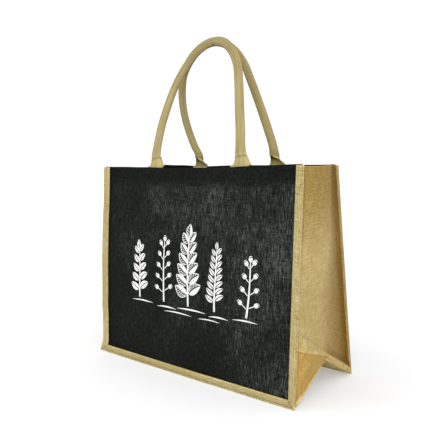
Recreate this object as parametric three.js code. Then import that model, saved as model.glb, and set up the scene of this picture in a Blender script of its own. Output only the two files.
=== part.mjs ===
// Jute shopping bag standing open: a dyed front and back panel, one long natural strip that makes
// both sides and the base and laps over the panels' edges, and two padded webbing handles.
// Millimetres, +Z up, the front panel faces -Y. The origin is the bottom centre of the whole bag's box.
import * as THREE from 'three';

// The bag's cloth
const bagWidth = 420;        // across a panel, crease to crease
const bagHeight = 340;       // bottom crease to rim, along the cloth
const stripWidth = 197;      // the strip between its two creases, laid flat
const ridgeHeight = 48;      // how high the base's middle fold stands at each side
const clothThick = 1.5;
const clothGap = 0.45;       // between a panel and the strip's edge lapped over it
const lapLeft = 17.5;        // width of the strip's edge on a panel's face, at its left
const lapRight = 10.4;       // at its right
const lapBottomLeft = 13.4;  // along the bottom, where it starts at the left
const lapBottomRight = 12.6;
const rimHem = 25;           // depth of the hem turned in at the rim
const hemExtra = 1.6;        // what the turned-in layer adds to the thickness
const footWidth = 2.4;       // flat bottom of each crease, which stands on the floor

// How the bag stands: the rim has moved against the base
const frontLean = 18;        // the front rim lies this far back
const frontShift = 3.5;      // and this far to the right
const backLean = 22;         // the back rim lies this far back
const backShift = -37;       // and this far to the left
const frontBow = 1;          // the front bottom edge bows forward in its middle
const backBow = 4;
const bellyDepth = 4;        // each panel bellies out at half height

// Height changes of the two rims, by place across the panel from -1 at the left to 1 at the right
const frontRimDrop = [
  { across: -1, drop: 0 }, { across: -0.8, drop: 0.5 }, { across: -0.5, drop: 1.7 },
  { across: -0.2, drop: 3.5 }, { across: 0.3, drop: 3.9 }, { across: 0.6, drop: 2 }, { across: 1, drop: 0 },
];
const backRimDrop = [
  { across: -1, drop: -5 }, { across: -0.7, drop: -3 }, { across: -0.35, drop: 0 },
  { across: 0, drop: -1 }, { across: 0.6, drop: 0 }, { across: 1, drop: 0 },
];

// The front's left edge isn't straight: how far it lies to the right, by height along the cloth
const leftEdgeShift = [
  { run: 0, shift: -2.2 }, { run: 22, shift: 4.7 }, { run: 65, shift: 3.6 }, { run: 86, shift: 0.8 },
  { run: 108, shift: 0.8 }, { run: 173, shift: -1.4 }, { run: 238, shift: -0.5 }, { run: 281, shift: 1.6 },
  { run: 340, shift: 0.8 },
];

// The side cloth: a full front half and a hollow back half, and the folds over the raised base
const sideFullness = 14;     // outward, fullest in the middle
const sideWave = 12;         // outward in the front half, inward in the back half
const sideFillHeight = 200;  // above the fold, the height over which the side fills out
const sideNotch = 3.4;       // the sides' rim lies this much under the front panel's rim
const leftSag = 5.5;         // the left side's rim also sags between its ends
const foldReach = 9;         // how far the fold above the base stands out
const foldLow = 82;          // height where the fold's lower crease meets the front edge
const foldHigh = 108;        // height where its upper crease meets the front edge
const foldLowBack = 5;       // the same two creases over the back half, above the base's edge
const foldHighBack = 10;

// Handles
const webWidth = 34;         // flat end, across
const webThick = 2.2;
const handleGap = 0.6;       // between a flat end and the panel's hem
const endDrop = 38;          // length of the flat end inside the bag
const flareLength = 16;      // from the rim to the crease where the flat end begins to spread
const neckLength = 21;       // from the rim to where the webbing has closed into a tube
const settleRise = 60;       // above this height over the rim a handle follows its leaning plane
const legWidth = 17;         // closed handle at the legs
const legThick = 9.5;
const crownWidth = 14.5;     // closed handle at the top
const crownThick = 9;
const sectionStep = 15;      // spacing of the sections along the closed handle

// Each handle's centre line on its leaning plane: place across the bag and height above the rim
const frontHandle = {
  lean: 14.5,
  line: [
    { x: -74, rise: 0 }, { x: -79.5, rise: 20 }, { x: -80.5, rise: 45 }, { x: -79, rise: 73 },
    { x: -73.5, rise: 100 }, { x: -66, rise: 127 }, { x: -56, rise: 151.5 }, { x: -41.5, rise: 174.5 },
    { x: -24, rise: 193 }, { x: 1, rise: 206.5 }, { x: 27.5, rise: 204.5 }, { x: 51, rise: 187.5 },
    { x: 67, rise: 162 }, { x: 74.5, rise: 135.5 }, { x: 80.5, rise: 108.5 }, { x: 86, rise: 82 },
    { x: 92, rise: 55 }, { x: 97, rise: 28 }, { x: 102, rise: 0 },
  ],
};
const backHandle = {
  lean: 24,
  line: [
    { x: -123, rise: 0 }, { x: -115, rise: 25 }, { x: -119, rise: 45 }, { x: -121, rise: 75 },
    { x: -119.5, rise: 105 }, { x: -114.5, rise: 130 }, { x: -105, rise: 156 }, { x: -88, rise: 184 },
    { x: -53, rise: 212 }, { x: -18, rise: 225.5 }, { x: 8, rise: 224.5 }, { x: 31, rise: 210.5 },
    { x: 45.5, rise: 185 }, { x: 50, rise: 159 }, { x: 55.5, rise: 115 }, { x: 59.5, rise: 70 },
    { x: 61, rise: 32 }, { x: 55.5, rise: 0 },
  ],
};

const halfStrip = stripWidth / 2;
const halfBag = bagWidth / 2;
const halfCloth = clothThick / 2;
const baseDepth = 2 * Math.sqrt(halfStrip ** 2 - ridgeHeight ** 2);
const panelInset = halfCloth + clothGap + halfCloth;   // a panel's middle behind the lap's middle

const mix = (a, b, k) => a + (b - a) * k;
const clamp01 = (k) => Math.min(1, Math.max(0, k));
const ease = (k) => clamp01(k) ** 2 * (3 - 2 * clamp01(k));

// A smooth value between the rows of a small table whose first column is place
function fromTable(rows, place, at, value) {
  const last = rows.length - 1;
  let row = 0;
  while (row < last - 1 && rows[row + 1][place] < at) row += 1;
  const k = (at - rows[row][place]) / (rows[row + 1][place] - rows[row][place]);
  return mix(rows[row][value], rows[row + 1][value], ease(k));
}

// Point on the middle of the strip's lap: across from -1 to 1, run is the height along the cloth
function frontFace(across, run) {
  const up = run / bagHeight;
  const round = 1 - Math.abs(across) ** 3;
  const bow = frontBow * round * (1 - up) ** 2 + bellyDepth * Math.sin(Math.PI * up) * (1 - across ** 2);
  const drop = fromTable(frontRimDrop, 'across', across, 'drop') * up ** 4;
  const level = Math.sqrt(1 - (frontLean / bagHeight) ** 2);
  const uneven = fromTable(leftEdgeShift, 'run', run, 'shift') * clamp01((-across - 0.6) / 0.4) ** 2;
  const x = across * halfBag + frontShift * up + uneven;
  return new THREE.Vector3(x, frontLean * up - bow, run * level - drop);
}

function backFace(across, run) {
  const up = run / bagHeight;
  const round = 1 - Math.abs(across) ** 3;
  const bow = backBow * round * (1 - up) ** 2 + bellyDepth * Math.sin(Math.PI * up) * (1 - across ** 2);
  const drop = fromTable(backRimDrop, 'across', across, 'drop') * up ** 4;
  const level = Math.sqrt(1 - (backLean ** 2 + backShift ** 2) / bagHeight ** 2);
  const y = baseDepth + backLean * up + bow;
  return new THREE.Vector3(across * halfBag + backShift * up, y, run * level - drop);
}

// Height of the base's middle fold where the bottom edges lie further apart or closer
function ridgeAt(across) {
  const spread = backFace(across, 0).y - frontFace(across, 0).y;
  return Math.sqrt(Math.max(0, halfStrip ** 2 - (spread / 2) ** 2));
}

// The step from a grid point that moves every face around it outwards by one millimetre, as nearly as
// the faces allow: at a crease it is the mitre, so both legs keep their thickness.
const mitrePull = 0.03;

function mitre(grid, i, j) {
  const normals = [];
  for (const [a, b] of [[i - 1, j - 1], [i - 1, j], [i, j - 1], [i, j]]) {
    if (a < 0 || b < 0 || a > grid.length - 2 || b > grid[0].length - 2) continue;
    const across = grid[a + 1][b + 1].clone().sub(grid[a][b]);
    const other = grid[a][b + 1].clone().sub(grid[a + 1][b]);
    normals.push(across.cross(other).normalize());
  }
  const mean = normals.reduce((sum, normal) => sum.add(normal), new THREE.Vector3()).normalize();
  const terms = [mitrePull, 0, 0, 0, mitrePull, 0, 0, 0, mitrePull];
  const wanted = mean.multiplyScalar(mitrePull);
  for (const normal of normals) {
    const parts = normal.toArray();
    for (let k = 0; k < terms.length; k += 1) terms[k] += parts[Math.floor(k / 3)] * parts[k % 3];
    wanted.add(normal);
  }
  return wanted.applyMatrix3(new THREE.Matrix3().set(...terms).invert());
}

// A closed sheet from a grid of points on its middle. The near face is the one that a grid running
// to the right and upwards turns away from the viewer; nearHalf and farHalf are the distances from
// the middle to each face.
function closedSheet(grid, nearHalf, farHalf) {
  const rows = grid.length;
  const cols = grid[0].length;
  const positions = [];
  const steps = grid.map((line, i) => line.map((point, j) => mitre(grid, i, j)));
  for (const reach of [nearHalf, (i, j) => -farHalf(i, j)]) {
    grid.forEach((line, i) => line.forEach((point, j) => {
      positions.push(...point.clone().addScaledVector(steps[i][j], reach(i, j)).toArray());
    }));
  }
  const inner = rows * cols;
  const at = (i, j) => i * cols + j;
  const triangles = [];
  const quad = (a, b, c, d) => triangles.push(a, b, c, a, c, d);
  for (let i = 0; i < rows - 1; i += 1) {
    for (let j = 0; j < cols - 1; j += 1) {
      quad(at(i, j), at(i + 1, j), at(i + 1, j + 1), at(i, j + 1));
      quad(inner + at(i, j), inner + at(i, j + 1), inner + at(i + 1, j + 1), inner + at(i + 1, j));
    }
  }
  const rim = [];
  for (let j = 0; j < cols - 1; j += 1) rim.push(at(0, j));
  for (let i = 0; i < rows - 1; i += 1) rim.push(at(i, cols - 1));
  for (let j = cols - 1; j > 0; j -= 1) rim.push(at(rows - 1, j));
  for (let i = rows - 1; i > 0; i -= 1) rim.push(at(i, 0));
  rim.forEach((here, k) => {
    const next = rim[(k + 1) % rim.length];
    quad(here, next, inner + next, inner + here);
  });
  return solid(positions, triangles);
}

// A geometry with its faces turned outwards
function solid(positions, triangles) {
  const corner = (k) => new THREE.Vector3().fromArray(positions, 3 * triangles[k]);
  let volume = 0;
  for (let k = 0; k < triangles.length; k += 3) {
    volume += corner(k).dot(corner(k + 1).cross(corner(k + 2))) / 6;
  }
  if (volume < 0) {
    for (let k = 0; k < triangles.length; k += 3) {
      [triangles[k + 1], triangles[k + 2]] = [triangles[k + 2], triangles[k + 1]];
    }
  }
  const geometry = new THREE.BufferGeometry();
  geometry.setAttribute('position', new THREE.Float32BufferAttribute(positions, 3));
  geometry.setIndex(triangles);
  geometry.computeVertexNormals();
  return geometry;
}

// Panels: inside the strip's creases, thicker at the rim where the hem is turned in
function panel(face, inward) {
  const sideInset = 3.5;
  const bottomInset = 3.2;
  const edge = 1 - sideInset / halfBag;
  const acrossSteps = [-1, -0.9, -0.75, -0.6, -0.45, -0.3, -0.15, 0, 0.15, 0.3, 0.45, 0.6, 0.75, 0.9, 1];
  const hemStart = bagHeight - rimHem;
  const runs = [bottomInset, 25, 60, 100, 145, 190, 235, 275, hemStart - 0.6, hemStart, bagHeight - 10];
  runs.push(bagHeight);
  const grid = runs.map((run) => acrossSteps.map((step) => {
    const point = face(step * edge, run);
    point.y += inward * panelInset;
    return point;
  }));
  const hemmed = (i) => halfCloth + (runs[i] >= hemStart ? hemExtra : 0);
  const plain = () => halfCloth;
  return inward > 0 ? closedSheet(grid, hemmed, plain) : closedSheet(grid, plain, hemmed);
}

// The long strip: down one side, across the base and up the other side. Each row of the grid is one
// section from the front lap's free edge to the back lap's free edge.
const widthSteps = [0.05, 0.12, 0.2, 0.29, 0.38, 0.46, 0.5, 0.54, 0.62, 0.71, 0.8, 0.88, 0.95];
const lapSteps = [1, 0.5, 0.12];

function lapPoints(face, across, runAtCrease, onSide) {
  const beside = onSide ? (across < 0 ? lapLeft : lapRight) : 0;
  const above = mix(lapBottomLeft, lapBottomRight, (across + 1) / 2);
  return lapSteps.map((step) => {
    const sideways = 1 - step * beside / halfBag;
    return face(across * sideways, mix(step * above, bagHeight, runAtCrease / bagHeight));
  });
}

function baseRow(across) {
  const front = frontFace(across, 0);
  const back = backFace(across, 0);
  const ridge = ridgeAt(across);
  const points = lapPoints(frontFace, across, 0, false);
  points.push(front, front.clone().setY(front.y + footWidth));
  for (const step of widthSteps) {
    const y = mix(front.y + footWidth, back.y - footWidth, step);
    points.push(new THREE.Vector3(across * halfBag, y, ridge * (1 - Math.abs(2 * step - 1))));
  }
  points.push(back.clone().setY(back.y - footWidth), back);
  points.push(...lapPoints(backFace, across, 0, false).reverse());
  return points;
}

// Heights of the folds over the base at one place across the side, from 0 at the front to 1 at the back
function foldHeights(step) {
  const edge = ridgeHeight * (1 - Math.abs(2 * step - 1));
  const toMiddle = clamp01(2 * step);
  const low = step < 0.5 ? mix(foldLow, ridgeHeight + foldLowBack, toMiddle) : edge + foldLowBack;
  const high = step < 0.5 ? mix(foldHigh, ridgeHeight + foldHighBack, toMiddle) : edge + foldHighBack;
  return { edge, low, high };
}

// Rows of a side, from the base's edge (0) over the fold's two creases (1 and 2) to the rim (3)
const sideRows = [0, 0.35, 0.7, 1, 1.5, 2, 2.12, 2.26, 2.4, 2.55, 2.7, 2.84];

function sideHeight(step, row, rimHeight) {
  const { edge, low, high } = foldHeights(step);
  if (row <= 1) return mix(edge, low, row);
  if (row <= 2) return mix(low, high, row - 1);
  return mix(high, rimHeight, row - 2);
}

// How far a side's rim lies under the line between the panels' rims
function rimSag(side, step) {
  const sag = side < 0 ? leftSag * ease(step / 0.6) * (1 - ease((step - 0.88) / 0.12)) : 0;
  return sideNotch * (1 - step) + sag;
}

function sideRow(side, row) {
  const heightAt = (step, rimHeight) => {
    if (row.fromRim === undefined) return sideHeight(step, row.level, rimHeight - rimHem - 1.2);
    return rimHeight - row.fromRim;
  };
  const rimFront = frontFace(side, bagHeight).z;
  const rimBack = backFace(side, bagHeight).z;
  const frontRun = bagHeight * heightAt(0, rimFront) / rimFront;
  const backRun = bagHeight * heightAt(1, rimBack) / rimBack;
  const front = frontFace(side, frontRun);
  const back = backFace(side, backRun);
  const points = lapPoints(frontFace, side, frontRun, true);
  points.push(front, front.clone().setY(front.y + footWidth));
  for (const step of widthSteps) {
    const height = heightAt(step, mix(rimFront, rimBack, step) - rimSag(side, step));
    const { edge, low, high } = foldHeights(step);
    const rising = clamp01((height - edge) / (low - edge));
    const falling = clamp01((high - height) / (high - low));
    const fold = foldReach * Math.min(rising, falling) * ease(step * 8) * mix(1, 0.45, ease(step * 2 - 0.4));
    const fill = ease((height - high) / sideFillHeight);
    const bulge = sideFullness * Math.sin(Math.PI * step) + sideWave * Math.sin(2 * Math.PI * step);
    const x = mix(front.x, back.x, step) + side * (fold + bulge * fill);
    const y = mix(front.y + footWidth, back.y - footWidth, step);
    points.push(new THREE.Vector3(x, y, height));
  }
  points.push(back.clone().setY(back.y - footWidth), back);
  points.push(...lapPoints(backFace, side, backRun, true).reverse());
  return points;
}

function strip() {
  const rows = sideRows.map((level) => ({ level }));
  rows.push({ fromRim: rimHem + 0.6 }, { fromRim: rimHem }, { fromRim: rimHem / 2 }, { fromRim: 0 });
  const baseAcross = [-0.87, -0.74, -0.55, -0.36, -0.18, 0, 0.18, 0.36, 0.55, 0.74, 0.87];
  const left = rows.map((row) => sideRow(-1, row)).reverse();
  const right = rows.map((row) => sideRow(1, row));
  const grid = [...left, ...baseAcross.map(baseRow), ...right];
  const firstCol = lapSteps.length + 2;
  const hemRows = 3;
  const hemmed = (i, j) => {
    const atRim = i < hemRows || i >= grid.length - hemRows;
    return atRim && j >= firstCol && j < firstCol + widthSteps.length;
  };
  for (const line of grid) for (const point of line) point.z += halfCloth;
  const geometry = closedSheet(grid, (i, j) => halfCloth + (hemmed(i, j) ? hemExtra : 0), () => halfCloth);
  flattenFeet(geometry);
  return geometry;
}

// What touches the floor is flat
function flattenFeet(geometry) {
  const position = geometry.getAttribute('position');
  for (let k = 0; k < position.count; k += 1) {
    if (position.getZ(k) < 0.3) position.setZ(k, 0);
  }
}

// One section of a handle: closed runs from 0, a flat web, to 1, a tube whose edges meet on the
// inner side. Pairs are across the handle and towards the bag's middle.
const outerCount = 9;
const innerCount = 7;

function handleSection(closed, width, thick) {
  const curl = mix(0.03, 0.94 * Math.PI, closed);
  const halfLength = mix(webWidth / 2, curl * (width - webThick) / 2, closed);
  const radius = halfLength / curl;
  const flatten = mix(1, (thick - webThick) / (width - webThick), closed);
  const centre = radius * Math.sin(curl) / curl;
  const at = (angle, offset) => [
    (radius + offset) * Math.sin(angle),
    (centre - (radius + offset) * Math.cos(angle)) * flatten,
  ];
  const points = [];
  for (let k = 0; k < outerCount; k += 1) {
    points.push(at(mix(-curl, curl, k / (outerCount - 1)), webThick / 2));
  }
  const lip = points[outerCount - 1];
  const fill = ease((closed - 0.7) / 0.3);
  for (let k = 0; k < innerCount; k += 1) {
    const part = mix(1, -1, k / (innerCount - 1));
    const hollow = at(part * curl, -webThick / 2);
    const seam = [part * lip[0] * 0.85, lip[1] - 0.3 - 1.3 * (1 - part ** 2)];
    points.push([mix(hollow[0], seam[0], fill), mix(hollow[1], seam[1], fill)]);
  }
  return points;
}

// A handle's centre line: down behind the panel at both ends, along its leaning plane between them.
// inward is +1 where the bag's middle lies towards +Y.
function handleCurve(shape, face, inward, lean) {
  const endInset = panelInset + halfCloth + hemExtra + handleGap + webThick / 2;
  const behindPanel = (x, rise) => {
    const point = face((x - face(0, bagHeight).x) / halfBag, bagHeight + rise);
    return point.setY(point.y + inward * endInset);
  };
  const planeFoot = face(1, bagHeight);
  planeFoot.y += inward * endInset;
  const aboveRim = ({ x, rise }) => {
    const start = behindPanel(x, 0);
    const settled = ease(rise / settleRise);
    const y = mix(start.y, planeFoot.y, settled) + inward * rise * Math.sin(lean);
    const z = mix(start.z, planeFoot.z, settled) + rise * Math.cos(lean);
    return new THREE.Vector3(x, y, z);
  };
  const sewnEnd = ({ x }) => [1, 0.5, 0.08].map((part) => behindPanel(x, -endDrop * part));
  const points = [
    ...sewnEnd(shape.line[0]),
    ...shape.line.map(aboveRim),
    ...sewnEnd(shape.line.at(-1)).reverse(),
  ];
  const curve = new THREE.CatmullRomCurve3(points, false, 'centripetal');
  curve.arcLengthDivisions = 600;
  return curve;
}

// Where the sections stand along a handle, close together at the necks
function sectionPlaces(total) {
  const neckEnd = endDrop + neckLength;
  const neck = [0, 2, 18, 36, 39, 43, 47, 51, flareLength + endDrop, 56.5, neckEnd];
  const closedLength = total - 2 * neckEnd;
  const steps = Math.round(closedLength / sectionStep);
  const between = Array.from({ length: steps - 1 }, (_, k) => neckEnd + (k + 1) * closedLength / steps);
  return [...neck, ...between, ...neck.map((place) => total - place).reverse()];
}

// From 0 to 1: a straight flare up to the crease, and above it a tube
function closedAt(aboveRim) {
  const flare = 0.5 * clamp01((aboveRim - 1) / (flareLength - 1));
  return flare + 0.5 * ease((aboveRim - flareLength) / (neckLength - flareLength));
}

function handle(shape, face, inward) {
  const lean = THREE.MathUtils.degToRad(shape.lean);
  const curve = handleCurve(shape, face, inward, lean);
  const total = curve.getLength();
  const sections = sectionPlaces(total).map((place) => {
    const aboveRim = Math.min(place, total - place) - endDrop;
    const closed = closedAt(aboveRim);
    const crown = Math.sin(Math.PI * place / total) ** 4;
    const along = curve.getTangentAt(clamp01(place / total));
    const tilt = lean * ease((aboveRim + 10) / 40);
    const facing = new THREE.Vector3(0, inward * Math.cos(tilt), -Math.sin(tilt));
    const across = new THREE.Vector3().crossVectors(along, facing).normalize();
    const level = new THREE.Vector3(Math.sign(across.x), 0, 0);
    across.lerp(level, 1 - ease((aboveRim - 6) / 14)).normalize();
    const towards = new THREE.Vector3().crossVectors(across, along).normalize();
    const seated = 0.4 * closed * (legThick - webThick) / 2;
    const centre = curve.getPointAt(clamp01(place / total)).addScaledVector(towards, seated);
    const outline = handleSection(closed, mix(legWidth, crownWidth, crown), mix(legThick, crownThick, crown));
    return outline.map(([a, b]) => centre.clone().addScaledVector(across, a).addScaledVector(towards, b));
  });
  return closedTube(sections);
}

// A closed body through a row of sections with the same number of points
function closedTube(sections) {
  const around = sections[0].length;
  const positions = [];
  const triangles = [];
  for (const point of sections.flat()) positions.push(...point.toArray());
  for (let i = 0; i < sections.length - 1; i += 1) {
    for (let k = 0; k < around; k += 1) {
      const a = i * around + k;
      const b = i * around + (k + 1) % around;
      triangles.push(a, b, b + around, a, b + around, a + around);
    }
  }
  for (const atStart of [true, false]) {
    const section = atStart ? sections[0] : sections.at(-1);
    const base = atStart ? 0 : (sections.length - 1) * around;
    const middle = section.reduce((sum, point) => sum.add(point), new THREE.Vector3()).divideScalar(around);
    const hub = positions.length / 3;
    positions.push(...middle.toArray());
    for (let k = 0; k < around; k += 1) {
      const here = base + k;
      const next = base + (k + 1) % around;
      triangles.push(...(atStart ? [hub, next, here] : [hub, here, next]));
    }
  }
  return solid(positions, triangles);
}

const dyedJute = new THREE.MeshStandardMaterial({ color: 0x20231f, roughness: 0.95, metalness: 0 });
const naturalJute = new THREE.MeshStandardMaterial({ color: 0xb9a26c, roughness: 0.95, metalness: 0 });
const cottonWeb = new THREE.MeshStandardMaterial({ color: 0xbfa971, roughness: 0.9, metalness: 0 });

const bag = new THREE.Group();

function addPiece(name, geometry, material) {
  const piece = new THREE.Mesh(geometry, material);
  piece.name = name;
  bag.add(piece);
}

addPiece('front_panel', panel(frontFace, 1), dyedJute);
addPiece('back_panel', panel(backFace, -1), dyedJute);
addPiece('side_strip', strip(), naturalJute);
addPiece('handle_front', handle(frontHandle, frontFace, 1), cottonWeb);
addPiece('handle_back', handle(backHandle, backFace, -1), cottonWeb);

// Up to here y = 0 is at the front bottom corners and x = 0 at the base's middle; the origin that
// the file states is the bottom centre of the whole box.
const middle = new THREE.Box3().setFromObject(bag).getCenter(new THREE.Vector3());
bag.position.set(-middle.x, -middle.y, 0);

export default bag;
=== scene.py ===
import math

import bmesh
import bpy
from mathutils import Matrix, Vector, noise


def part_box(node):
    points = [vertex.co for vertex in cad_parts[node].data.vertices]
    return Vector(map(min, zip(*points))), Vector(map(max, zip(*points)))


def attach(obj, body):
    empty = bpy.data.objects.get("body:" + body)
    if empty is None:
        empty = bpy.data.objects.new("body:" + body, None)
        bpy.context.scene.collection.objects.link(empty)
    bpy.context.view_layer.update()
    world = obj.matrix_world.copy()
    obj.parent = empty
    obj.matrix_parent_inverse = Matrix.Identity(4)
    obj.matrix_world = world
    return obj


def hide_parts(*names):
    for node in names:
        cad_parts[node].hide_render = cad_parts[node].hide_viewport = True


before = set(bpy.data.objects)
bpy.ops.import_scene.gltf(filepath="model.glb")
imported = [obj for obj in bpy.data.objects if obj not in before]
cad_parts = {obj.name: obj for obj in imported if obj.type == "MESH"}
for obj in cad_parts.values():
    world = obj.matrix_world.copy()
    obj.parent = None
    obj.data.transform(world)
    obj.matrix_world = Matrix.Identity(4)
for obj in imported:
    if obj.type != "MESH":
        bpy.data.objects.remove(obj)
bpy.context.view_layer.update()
print("frame loaded")

mm = 0.001

# The bag's cloth and stance in millimetres, as the solids have them. In this frame x = 0 is the
# middle of the base, y = 0 the front bottom corners and z = 0 the floor.
bag = {
    "width": 420,
    "height": 340,
    "stripWidth": 197,
    "ridgeHeight": 48,
    "cloth": 1.5,
    "gap": 0.45,
    "rimHem": 25,
    "frontLean": 18,
    "frontShift": 3.5,
    "backLean": 22,
    "backShift": -37,
    "frontBow": 1,
    "backBow": 4,
    "belly": 4,
    "lapLeft": 16.7,
    "lapRight": 8.8,
    "lapBottomLeft": 12.6,
    "lapBottomRight": 11.8,
    "leftEdgeFrom": 0.6,    # the left edge's shift is spread from here outwards
    "ripple": 0.9,          # the cloth's own unevenness
    "rippleSize": 75,
}
halfBag = bag["width"] / 2
halfStrip = bag["stripWidth"] / 2
baseDepth = 2 * math.sqrt(halfStrip ** 2 - bag["ridgeHeight"] ** 2)
panelInset = bag["cloth"] + bag["gap"]

# Changes of the two rims' height, as (place across from -1 to 1, drop)
frontRimDrop = [(-1, 0), (-0.8, 0.5), (-0.5, 1.7), (-0.2, 3.5), (0.3, 3.9), (0.6, 2), (1, 0)]
backRimDrop = [(-1, -5), (-0.7, -3), (-0.35, 0), (0, -1), (0.6, 0), (1, 0)]

# How far the front's left edge lies to the right, as (height along the cloth, shift)
leftEdgeShift = [(0, -2.2), (22, 4.7), (65, 3.6), (86, 0.8), (108, 0.8), (173, -1.4), (238, -0.5),
                 (281, 1.6), (340, 0.8)]

# Where this frame lies in the model's: the strip's lowest x is at the back rim's left corner, and its
# highest y at the back rim
stripLow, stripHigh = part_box("side_strip")
originX = stripLow.x + (halfBag - bag["backShift"] + bag["cloth"] / 2) * mm
originY = stripHigh.y - (baseDepth + bag["backLean"] + bag["cloth"] / 2) * mm


def toModel(point):
    return Vector((point.x * mm + originX, point.y * mm + originY, point.z * mm))


def mix(a, b, k):
    return a + (b - a) * k


def clamp01(k):
    return min(1.0, max(0.0, k))


def ease(k):
    k = clamp01(k)
    return k * k * (3 - 2 * k)


def easeBetween(value, low, high):
    return ease((value - low) / (high - low))


def fromTable(rows, at):
    at = max(rows[0][0], min(rows[-1][0], at))
    for (x0, v0), (x1, v1) in zip(rows, rows[1:]):
        if at <= x1:
            return mix(v0, v1, ease((at - x0) / (x1 - x0)))
    return rows[-1][1]


def ripple(a, b, seed):
    place = Vector((a / bag["rippleSize"], b / (1.6 * bag["rippleSize"]), seed))
    return bag["ripple"] * noise.noise(place) + 0.35 * bag["ripple"] * noise.noise(place * 2.7)


# How far a panel bulges outwards, and how far it has dropped towards its rim
def bulgeAndDrop(across, run, bottomBow, rimDrop, seed):
    up = run / bag["height"]
    inside = max(0.0, 1 - across ** 2)
    full = 1 - min(1, abs(across)) ** 3
    bow = bottomBow * full * (1 - up) ** 2 + bag["belly"] * math.sin(math.pi * up) * inside
    bow += ripple(across * halfBag, run, seed) * min(1, 4 * inside)
    return bow, fromTable(rimDrop, across) * max(0, up) ** 4


# Front and back of the bag: across runs from -1 to 1, run is the height along the cloth
def frontFace(across, run):
    up = run / bag["height"]
    bow, drop = bulgeAndDrop(across, run, bag["frontBow"], frontRimDrop, 3.1)
    level = math.sqrt(1 - (bag["frontLean"] / bag["height"]) ** 2)
    x = across * halfBag + bag["frontShift"] * up
    outwards = clamp01((-across - bag["leftEdgeFrom"]) / (1 - bag["leftEdgeFrom"]))
    x += fromTable(leftEdgeShift, run) * outwards ** 2
    return Vector((x, bag["frontLean"] * up - bow, run * level - drop))


def backFace(across, run):
    up = run / bag["height"]
    bow, drop = bulgeAndDrop(across, run, bag["backBow"], backRimDrop, 8.4)
    level = math.sqrt(1 - (bag["backLean"] ** 2 + bag["backShift"] ** 2) / bag["height"] ** 2)
    x = across * halfBag + bag["backShift"] * up
    return Vector((x, baseDepth + bag["backLean"] * up + bow, run * level - drop))


faces = {"front": (frontFace, 1), "back": (backFace, -1)}    # shape, and the way to the bag's middle


def lapWidth(across, onSide):
    if onSide:
        return bag["lapLeft"] if across < 0 else bag["lapRight"]
    return mix(bag["lapBottomLeft"], bag["lapBottomRight"], (across + 1) / 2)


# Camera, found from seven corners and creases of the bag in the 440 x 440 photograph
cameraPlace = {
    "position": (604.7, -629.0, 341.6),
    "yaw": -39.72,
    "pitch": 5.76,
    "roll": -0.93,
    "focalPixels": 553.8,
    "imageWidth": 440,
    "sensor": 36.0,
}


def makeCamera(settings):
    data = bpy.data.cameras.new("camera")
    data.sensor_width = settings["sensor"]
    data.lens = settings["focalPixels"] / settings["imageWidth"] * settings["sensor"]
    data.clip_start = 0.02
    data.clip_end = 60
    camera = bpy.data.objects.new("camera", data)
    bpy.context.scene.collection.objects.link(camera)
    yaw = math.radians(settings["yaw"])
    pitch = math.radians(settings["pitch"])
    roll = math.radians(settings["roll"])
    ahead = Vector((math.sin(yaw) * math.cos(pitch), math.cos(yaw) * math.cos(pitch), -math.sin(pitch)))
    level = Vector((math.cos(yaw), -math.sin(yaw), 0))
    rise = level.cross(ahead)
    right = math.cos(roll) * level + math.sin(roll) * rise
    up = -math.sin(roll) * level + math.cos(roll) * rise
    turn = Matrix((right, up, -ahead)).transposed().to_4x4()
    camera.matrix_world = Matrix.Translation(toModel(Vector(settings["position"]))) @ turn
    bpy.context.scene.camera = camera


mapMetres = 2.0     # the unit of the pieces' own maps


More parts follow.
